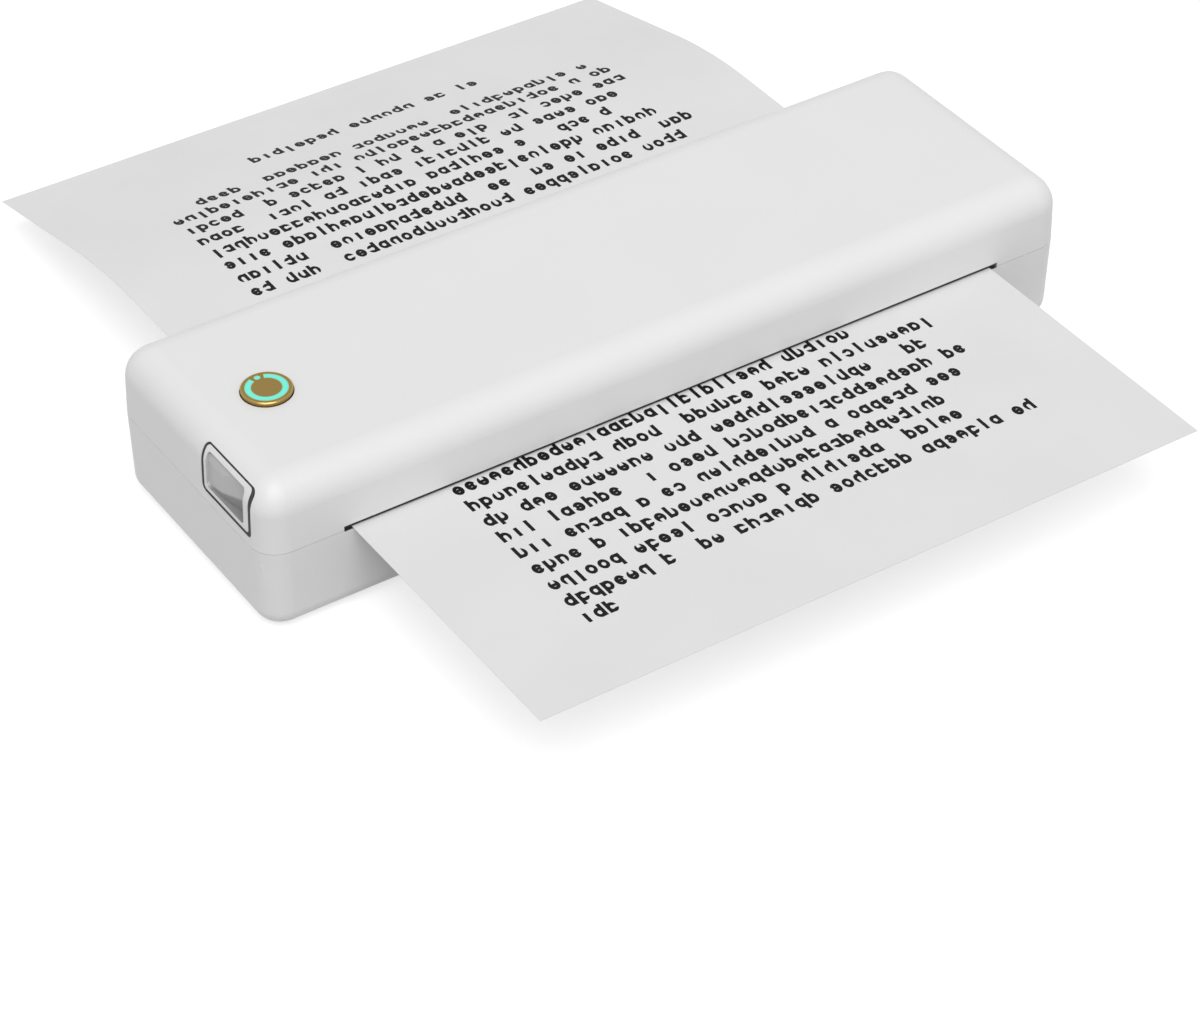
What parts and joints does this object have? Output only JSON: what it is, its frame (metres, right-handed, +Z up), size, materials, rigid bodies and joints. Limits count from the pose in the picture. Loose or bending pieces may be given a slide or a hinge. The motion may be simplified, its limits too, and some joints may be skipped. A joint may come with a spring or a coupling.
{
  "type": "a4 portable thermal printer",
  "caption": "Bar-shaped portable thermal printer with a sheet running through its slot, a gold power button with a light ring, and a hinged cover released by an end button.",
  "frame": {"origin": "on the desk plane, under the middle of the body", "axes": "+X along the body towards the charging socket end, -Y towards the side where the sheet comes out, +Z up"},
  "size_m": [0.2624, 0.2955, 0.0482],
  "materials": {
    "white_case": "satin white moulded plastic",
    "liner_plastic": "fine matt black-grey moulded plastic",
    "black_plastic": "matt black moulded plastic",
    "gold": "spun and anodised gold",
    "light_ring": "lit turquoise light guide",
    "rubber": "matt black rubber",
    "felt": "black antistatic felt",
    "steel": "bright zinc-plated sheet and bar",
    "screw_steel": "dark zinc-plated screws",
    "bronze": "sintered bronze",
    "gear_plastic": "ivory acetal",
    "aluminium": "extruded aluminium",
    "ceramic": "glazed alumina",
    "board_green": "green solder resist",
    "cell_wrap": "blue shrink sleeve",
    "paper": "white thermal paper"
  },
  "bodies": {
    "base": {"lower_case": "white_case", "rubber_feet": "rubber", "case_screws": "screw_steel", "hinge_pins": "steel", "paper_deck": "liner_plastic", "paper_sensor": "black_plastic", "left_side_plate": "steel", "right_side_plate": "steel", "side_plate_screws": "screw_steel", "platen_bushes": "bronze", "idler_pin": "steel", "feed_motor": "steel", "motor_screws": "screw_steel", "battery_tray": "black_plastic", "battery_cells": "cell_wrap", "battery_contacts": "steel", "main_board": "board_green", "board_screws": "screw_steel", "board_chips": "black_plastic", "board_connectors": "gear_plastic", "usb_shell": "steel", "usb_tongue": "black_plastic", "deck_felt": "felt"},
    "cover": {"upper_case": "white_case", "cover_liner": "liner_plastic", "liner_screws": "screw_steel", "tear_bar": "steel", "head_bracket": "steel", "bracket_screws": "screw_steel", "head_springs": "steel", "button_board": "board_green", "button_board_screws": "screw_steel", "tact_switch": "black_plastic", "latch_spring": "steel", "mouth_felt": "felt"},
    "power_button": {"power_button": "gold", "power_light": "light_ring"},
    "latch": {"latch_button": "white_case", "latch_seal": "rubber", "latch_bar": "black_plastic", "latch_screws": "screw_steel"},
    "print_head": {"head_heatsink": "aluminium", "head_ceramic": "ceramic", "driver_cover": "black_plastic", "head_pivots": "steel"},
    "platen": {"platen_shaft": "steel", "platen_rubber": "rubber", "platen_gear": "gear_plastic", "platen_clip": "steel"},
    "idler": {"idler_gear": "gear_plastic"},
    "motor_rotor": {"motor_shaft": "steel", "motor_pinion": "bronze"},
    "sheet": {"paper_sheet": "paper"}
  },
  "joints": [
    {"name": "cover_hinge", "type": "hinge", "parent": "base", "child": "cover", "pos_m": [0, 0.039, 0.0292], "axis": [-1, 0, 0], "range_deg": [0, 80]},
    {"name": "power_press", "type": "slide", "parent": "cover", "child": "power_button", "axis": [0, 0, -1], "range_m": [0, 0.0006], "stiffness_N_per_m": 400, "springref_m": -0.001},
    {"name": "latch_slide", "type": "slide", "parent": "cover", "child": "latch", "axis": [1, 0, 0], "range_m": [0, 0.0025], "stiffness_N_per_m": 300, "springref_m": -0.003, "deforming": ["latch_spring"]},
    {"name": "head_pivot", "type": "hinge", "parent": "cover", "child": "print_head", "pos_m": [0, -0.0115, 0.02975], "axis": [-1, 0, 0], "range_deg": [0, 2.5], "stiffness_Nm_per_rad": 0.6, "springref_deg": -5.73, "deforming": ["head_springs"]},
    {"name": "platen_spin", "type": "hinge", "parent": "base", "child": "platen", "pos_m": [0, -0.02, 0.02025], "axis": [1, 0, 0], "range_deg": [0, 360]},
    {"name": "idler_spin", "type": "hinge", "parent": "base", "child": "idler", "pos_m": [0, -0.00779, 0.01262], "axis": [1, 0, 0], "range_deg": [-360, 0]},
    {"name": "motor_spin", "type": "hinge", "parent": "base", "child": "motor_rotor", "pos_m": [0, 0.003, 0.01318], "axis": [1, 0, 0], "range_deg": [0, 720]},
    {"name": "paper_feed", "type": "slide", "parent": "base", "child": "sheet", "axis": [0, -1, 0], "range_m": [0, 0.0378]}
  ],
  "couplings": [
    {"joint": "idler_spin", "follows": "platen_spin", "ratio": -1},
    {"joint": "motor_spin", "follows": "platen_spin", "ratio": 2},
    {"joint": "paper_feed", "follows": "platen_spin", "m_per_rad": 0.006}
  ]
}
